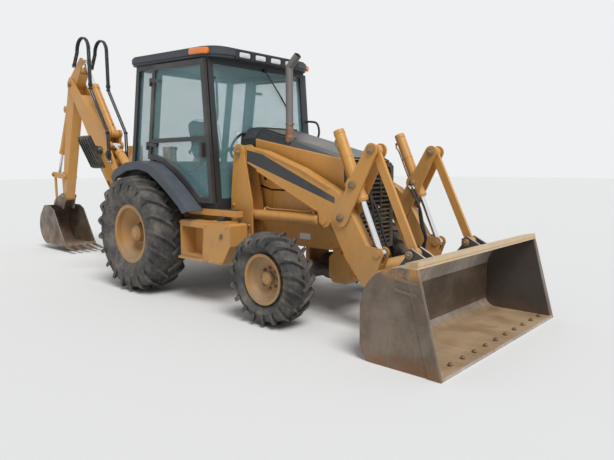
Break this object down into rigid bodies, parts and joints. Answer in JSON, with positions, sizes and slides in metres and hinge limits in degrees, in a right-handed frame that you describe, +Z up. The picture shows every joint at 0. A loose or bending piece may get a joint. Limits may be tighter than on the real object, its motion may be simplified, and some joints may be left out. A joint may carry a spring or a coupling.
{
  "type": "backhoe loader",
  "caption": "Wheeled tractor with a wide front loader bucket on lift arms, an enclosed cab and a swinging rear digging arm with stabilizers.",
  "frame": {"origin": "on the ground under the middle of the machine's overall box", "axes": "+X towards the loader bucket, +Y to the machine's left, +Z up"},
  "size_m": [8.289, 2.12, 3.3535],
  "materials": {
    "paint": "golden yellow enamel, worn and dusty",
    "dark": "charcoal semi-gloss enamel",
    "steel": "worn bare steel with brown rust",
    "tyre": "dusty black rubber",
    "roof": "mid-grey moulded plastic",
    "fender": "slate grey moulded plastic",
    "glass": "green tinted safety glass",
    "lamps": "black housing with clear lenses",
    "cushion": "black woven cloth",
    "interior": "dark grained plastic",
    "stack": "heat-dulled grey steel",
    "rod": "hard chrome",
    "hose": "black hydraulic hose and steel tube",
    "pad": "dark worn steel"
  },
  "bodies": {
    "chassis": {"chassis_frame": "paint", "loader_towers": "paint", "front_axle": "dark", "driveline": "dark", "grille": "dark", "exhaust_stack": "stack", "side_boxes": "paint", "fenders": "fender", "cab_frame": "dark", "cab_roof": "roof", "roof_lamps": "lamps", "cab_glass": "glass", "seat_cushions": "cushion", "cab_controls": "interior", "hoe_frame": "paint"},
    "hood": {"hood": "paint"},
    "door_left": {"door_left": "dark", "door_left_glass": "glass"},
    "door_right": {"door_right": "dark", "door_right_glass": "glass"},
    "rear_wheel_left": {"rear_tyre_left": "tyre", "rear_rim_left": "paint"},
    "rear_wheel_right": {"rear_tyre_right": "tyre", "rear_rim_right": "paint"},
    "steering_rod": {"steering_rod": "rod"},
    "knuckle_left": {"knuckle_left": "dark"},
    "knuckle_right": {"knuckle_right": "dark"},
    "front_wheel_left": {"front_tyre_left": "tyre", "front_rim_left": "paint"},
    "front_wheel_right": {"front_tyre_right": "tyre", "front_rim_right": "paint"},
    "loader_arms": {"loader_arms": "paint"},
    "tilt_levers": {"tilt_levers": "paint"},
    "bucket_links": {"bucket_links": "paint"},
    "loader_bucket": {"loader_bucket": "steel"},
    "lift_barrels": {"lift_barrels": "paint"},
    "lift_rods": {"lift_rods": "rod"},
    "tilt_barrels": {"tilt_barrels": "paint"},
    "tilt_rods": {"tilt_rods": "rod"},
    "swing_tower": {"swing_tower": "paint"},
    "boom": {"boom": "paint", "boom_hoses": "hose"},
    "dipper": {"dipper": "paint"},
    "hoe_bucket": {"hoe_bucket": "steel"},
    "guide_links": {"guide_links": "paint"},
    "push_link": {"push_link": "paint"},
    "boom_barrel": {"boom_barrel": "paint"},
    "boom_rod": {"boom_rod": "rod"},
    "crowd_barrel": {"crowd_barrel": "paint"},
    "crowd_rod": {"crowd_rod": "rod"},
    "curl_barrel": {"curl_barrel": "paint"},
    "curl_rod": {"curl_rod": "rod"},
    "stabilizer_left": {"stabilizer_left": "paint"},
    "pad_left": {"pad_left": "pad"},
    "stab_barrel_left": {"stab_barrel_left": "paint"},
    "stab_rod_left": {"stab_rod_left": "rod"},
    "stabilizer_right": {"stabilizer_right": "paint"},
    "pad_right": {"pad_right": "pad"},
    "stab_barrel_right": {"stab_barrel_right": "paint"},
    "stab_rod_right": {"stab_rod_right": "rod"}
  },
  "joints": [
    {"name": "rear_wheel_left_spin", "type": "hinge", "parent": "chassis", "child": "rear_wheel_left", "pos_m": [0.2055, 0.815, 0.655], "axis": [0, 1, 0], "continuous": true},
    {"name": "rear_wheel_right_spin", "type": "hinge", "parent": "chassis", "child": "rear_wheel_right", "pos_m": [0.2055, -0.815, 0.655], "axis": [0, 1, 0], "continuous": true},
    {"name": "steer_left", "type": "hinge", "parent": "chassis", "child": "knuckle_left", "pos_m": [2.3395, 0.7, 0.42], "axis": [0, 0, 1], "range_deg": [-28, 28]},
    {"name": "steer_right", "type": "hinge", "parent": "chassis", "child": "knuckle_right", "pos_m": [2.3395, -0.7, 0.42], "axis": [0, 0, 1], "range_deg": [-28, 28]},
    {"name": "steering_rod_slide", "type": "slide", "parent": "chassis", "child": "steering_rod", "axis": [0, 1, 0], "range_m": [-0.062, 0.062]},
    {"name": "front_wheel_left_spin", "type": "hinge", "parent": "knuckle_left", "child": "front_wheel_left", "pos_m": [2.3395, 0.84, 0.42], "axis": [0, 1, 0], "continuous": true},
    {"name": "front_wheel_right_spin", "type": "hinge", "parent": "knuckle_right", "child": "front_wheel_right", "pos_m": [2.3395, -0.84, 0.42], "axis": [0, 1, 0], "continuous": true},
    {"name": "door_left_open", "type": "hinge", "parent": "chassis", "child": "door_left", "pos_m": [0.2135, 0.752, 1.47], "axis": [0.1584, 0, 0.9874], "range_deg": [0, 100]},
    {"name": "door_right_open", "type": "hinge", "parent": "chassis", "child": "door_right", "pos_m": [0.2135, -0.752, 1.47], "axis": [-0.1584, 0, -0.9874], "range_deg": [0, 100]},
    {"name": "hood_open", "type": "hinge", "parent": "chassis", "child": "hood", "pos_m": [2.8055, 0, 1.212], "axis": [0, 1, 0], "range_deg": [0, 48]},
    {"name": "loader_lift", "type": "hinge", "parent": "chassis", "child": "loader_arms", "pos_m": [1.5805, 0, 1.55], "axis": [0, -1, 0], "range_deg": [0, 88]},
    {"name": "lift_barrel_swing", "type": "hinge", "parent": "chassis", "child": "lift_barrels", "pos_m": [1.6055, 0, 0.93], "axis": [0, -1, 0], "range_deg": [0, 71.22]},
    {"name": "lift_rod_slide", "type": "slide", "parent": "lift_barrels", "child": "lift_rods", "axis": [1, 0, -0.0047], "range_m": [0, 0.7562]},
    {"name": "bucket_tilt", "type": "hinge", "parent": "loader_arms", "child": "loader_bucket", "pos_m": [3.3255, 0, 0.33], "axis": [0, 1, 0], "range_deg": [-24, 95]},
    {"name": "tilt_lever_swing", "type": "hinge", "parent": "loader_arms", "child": "tilt_levers", "pos_m": [2.8855, 0, 0.965], "axis": [0, 1, 0], "range_deg": [-19.11, 70.54]},
    {"name": "bucket_link_swing", "type": "hinge", "parent": "tilt_levers", "child": "bucket_links", "pos_m": [3.1955, 0, 1.53], "axis": [0, 1, 0], "range_deg": [-57.65, 15.62]},
    {"name": "tilt_barrel_swing", "type": "hinge", "parent": "tilt_levers", "child": "tilt_barrels", "pos_m": [3.0105, 0, 1.243], "axis": [0, 1, 0], "range_deg": [-51.53, 13.96]},
    {"name": "tilt_rod_slide", "type": "slide", "parent": "tilt_barrels", "child": "tilt_rods", "axis": [0.4078, 0, -0.9131], "range_m": [-0.3293, 0.1029]},
    {"name": "hoe_swing", "type": "hinge", "parent": "chassis", "child": "swing_tower", "pos_m": [-1.1745, 0, 0.8], "axis": [0, 0, 1], "range_deg": [-80, 80]},
    {"name": "boom_lower", "type": "hinge", "parent": "swing_tower", "child": "boom", "pos_m": [-1.3945, 0, 0.8], "axis": [0, -1, 0], "range_deg": [-12, 85]},
    {"name": "boom_barrel_swing", "type": "hinge", "parent": "swing_tower", "child": "boom_barrel", "pos_m": [-1.2745, 0, 1.18], "axis": [0, -1, 0], "range_deg": [-12.85, 80.14]},
    {"name": "boom_rod_slide", "type": "slide", "parent": "boom_barrel", "child": "boom_rod", "axis": [-0.7435, 0, 0.6687], "range_m": [-0.083, 0.5176]},
    {"name": "dipper_reach", "type": "hinge", "parent": "boom", "child": "dipper", "pos_m": [-3.0345, 0, 2.71], "axis": [0, 1, 0], "range_deg": [-18, 60]},
    {"name": "crowd_barrel_swing", "type": "hinge", "parent": "boom", "child": "crowd_barrel", "pos_m": [-1.89981, 0, 1.89506], "axis": [0, 1, 0], "range_deg": [-5.37, 1.71]},
    {"name": "crowd_rod_slide", "type": "slide", "parent": "crowd_barrel", "child": "crowd_rod", "axis": [-0.5736, 0, 0.8192], "range_m": [-0.4401, 0.1398]},
    {"name": "hoe_bucket_open", "type": "hinge", "parent": "dipper", "child": "hoe_bucket", "pos_m": [-3.5295, 0, 0.905], "axis": [0, 1, 0], "range_deg": [-36, 46]},
    {"name": "guide_link_swing", "type": "hinge", "parent": "dipper", "child": "guide_links", "pos_m": [-3.44658, 0, 1.24518], "axis": [0, 1, 0], "range_deg": [-29.64, 37.52]},
    {"name": "push_link_swing", "type": "hinge", "parent": "guide_links", "child": "push_link", "pos_m": [-3.8595, 0, 1.275], "axis": [0, 1, 0], "range_deg": [-25.05, 19.8]},
    {"name": "curl_barrel_swing", "type": "hinge", "parent": "dipper", "child": "curl_barrel", "pos_m": [-3.33146, 0, 2.34556], "axis": [0, 1, 0], "range_deg": [-3.24, 4.1]},
    {"name": "curl_rod_slide", "type": "slide", "parent": "curl_barrel", "child": "curl_rod", "axis": [-0.4424, 0, -0.8968], "range_m": [-0.2463, 0.1946]},
    {"name": "stabilizer_left_lower", "type": "hinge", "parent": "chassis", "child": "stabilizer_left", "pos_m": [-0.8545, 0.34, 0.62], "axis": [-1, 0, 0], "range_deg": [0, 94]},
    {"name": "pad_left_level", "type": "hinge", "parent": "stabilizer_left", "child": "pad_left", "pos_m": [-0.8545, 0.8, 1.62], "axis": [1, 0, 0], "range_deg": [0, 28.76]},
    {"name": "stab_barrel_left_swing", "type": "hinge", "parent": "chassis", "child": "stab_barrel_left", "pos_m": [-0.8545, 0.262, 1.62], "axis": [-1, 0, 0], "range_deg": [-0.552, 0]},
    {"name": "stab_rod_left_slide", "type": "slide", "parent": "stab_barrel_left", "child": "stab_rod_left", "axis": [0, 0.3401, -0.9404], "range_m": [0, 0.5676]},
    {"name": "stabilizer_right_lower", "type": "hinge", "parent": "chassis", "child": "stabilizer_right", "pos_m": [-0.8545, -0.34, 0.62], "axis": [1, 0, 0], "range_deg": [0, 94]},
    {"name": "pad_right_level", "type": "hinge", "parent": "stabilizer_right", "child": "pad_right", "pos_m": [-0.8545, -0.8, 1.62], "axis": [-1, 0, 0], "range_deg": [0, 28.76]},
    {"name": "stab_barrel_right_swing", "type": "hinge", "parent": "chassis", "child": "stab_barrel_right", "pos_m": [-0.8545, -0.262, 1.62], "axis": [1, 0, 0], "range_deg": [-0.552, 0]},
    {"name": "stab_rod_right_slide", "type": "slide", "parent": "stab_barrel_right", "child": "stab_rod_right", "axis": [0, -0.3401, -0.9404], "range_m": [0, 0.5676]}
  ],
  "couplings": [
    {"joint": "steer_right", "follows": "steer_left", "ratio": 1},
    {"joint": "steering_rod_slide", "follows": "steer_left", "m_per_rad": 0.118},
    {"joint": "lift_barrel_swing", "follows": "loader_lift", "ratio": 0.79345},
    {"joint": "lift_rod_slide", "follows": "loader_lift", "m_per_rad": 0.48273},
    {"joint": "tilt_lever_swing", "follows": "bucket_tilt", "ratio": 0.72442},
    {"joint": "bucket_link_swing", "follows": "bucket_tilt", "ratio": -0.59204},
    {"joint": "tilt_barrel_swing", "follows": "bucket_tilt", "ratio": -0.52921},
    {"joint": "tilt_rod_slide", "follows": "bucket_tilt", "m_per_rad": -0.19358},
    {"joint": "boom_barrel_swing", "follows": "boom_lower", "ratio": 0.92175},
    {"joint": "boom_rod_slide", "follows": "boom_lower", "m_per_rad": 0.34111},
    {"joint": "crowd_barrel_swing", "follows": "dipper_reach", "ratio": -0.08726},
    {"joint": "crowd_rod_slide", "follows": "dipper_reach", "m_per_rad": -0.40961},
    {"joint": "guide_link_swing", "follows": "hoe_bucket_open", "ratio": 0.78746},
    {"joint": "push_link_swing", "follows": "hoe_bucket_open", "ratio": -0.52592},
    {"joint": "curl_barrel_swing", "follows": "hoe_bucket_open", "ratio": 0.08606},
    {"joint": "curl_rod_slide", "follows": "hoe_bucket_open", "m_per_rad": -0.29628},
    {"joint": "pad_left_level", "follows": "stabilizer_left_lower", "ratio": 0.3},
    {"joint": "stab_barrel_left_swing", "follows": "stabilizer_left_lower", "ratio": -0.00576},
    {"joint": "stab_rod_left_slide", "follows": "stabilizer_left_lower", "m_per_rad": 0.33918},
    {"joint": "pad_right_level", "follows": "stabilizer_right_lower", "ratio": 0.3},
    {"joint": "stab_barrel_right_swing", "follows": "stabilizer_right_lower", "ratio": -0.00576},
    {"joint": "stab_rod_right_slide", "follows": "stabilizer_right_lower", "m_per_rad": 0.33918}
  ]
}
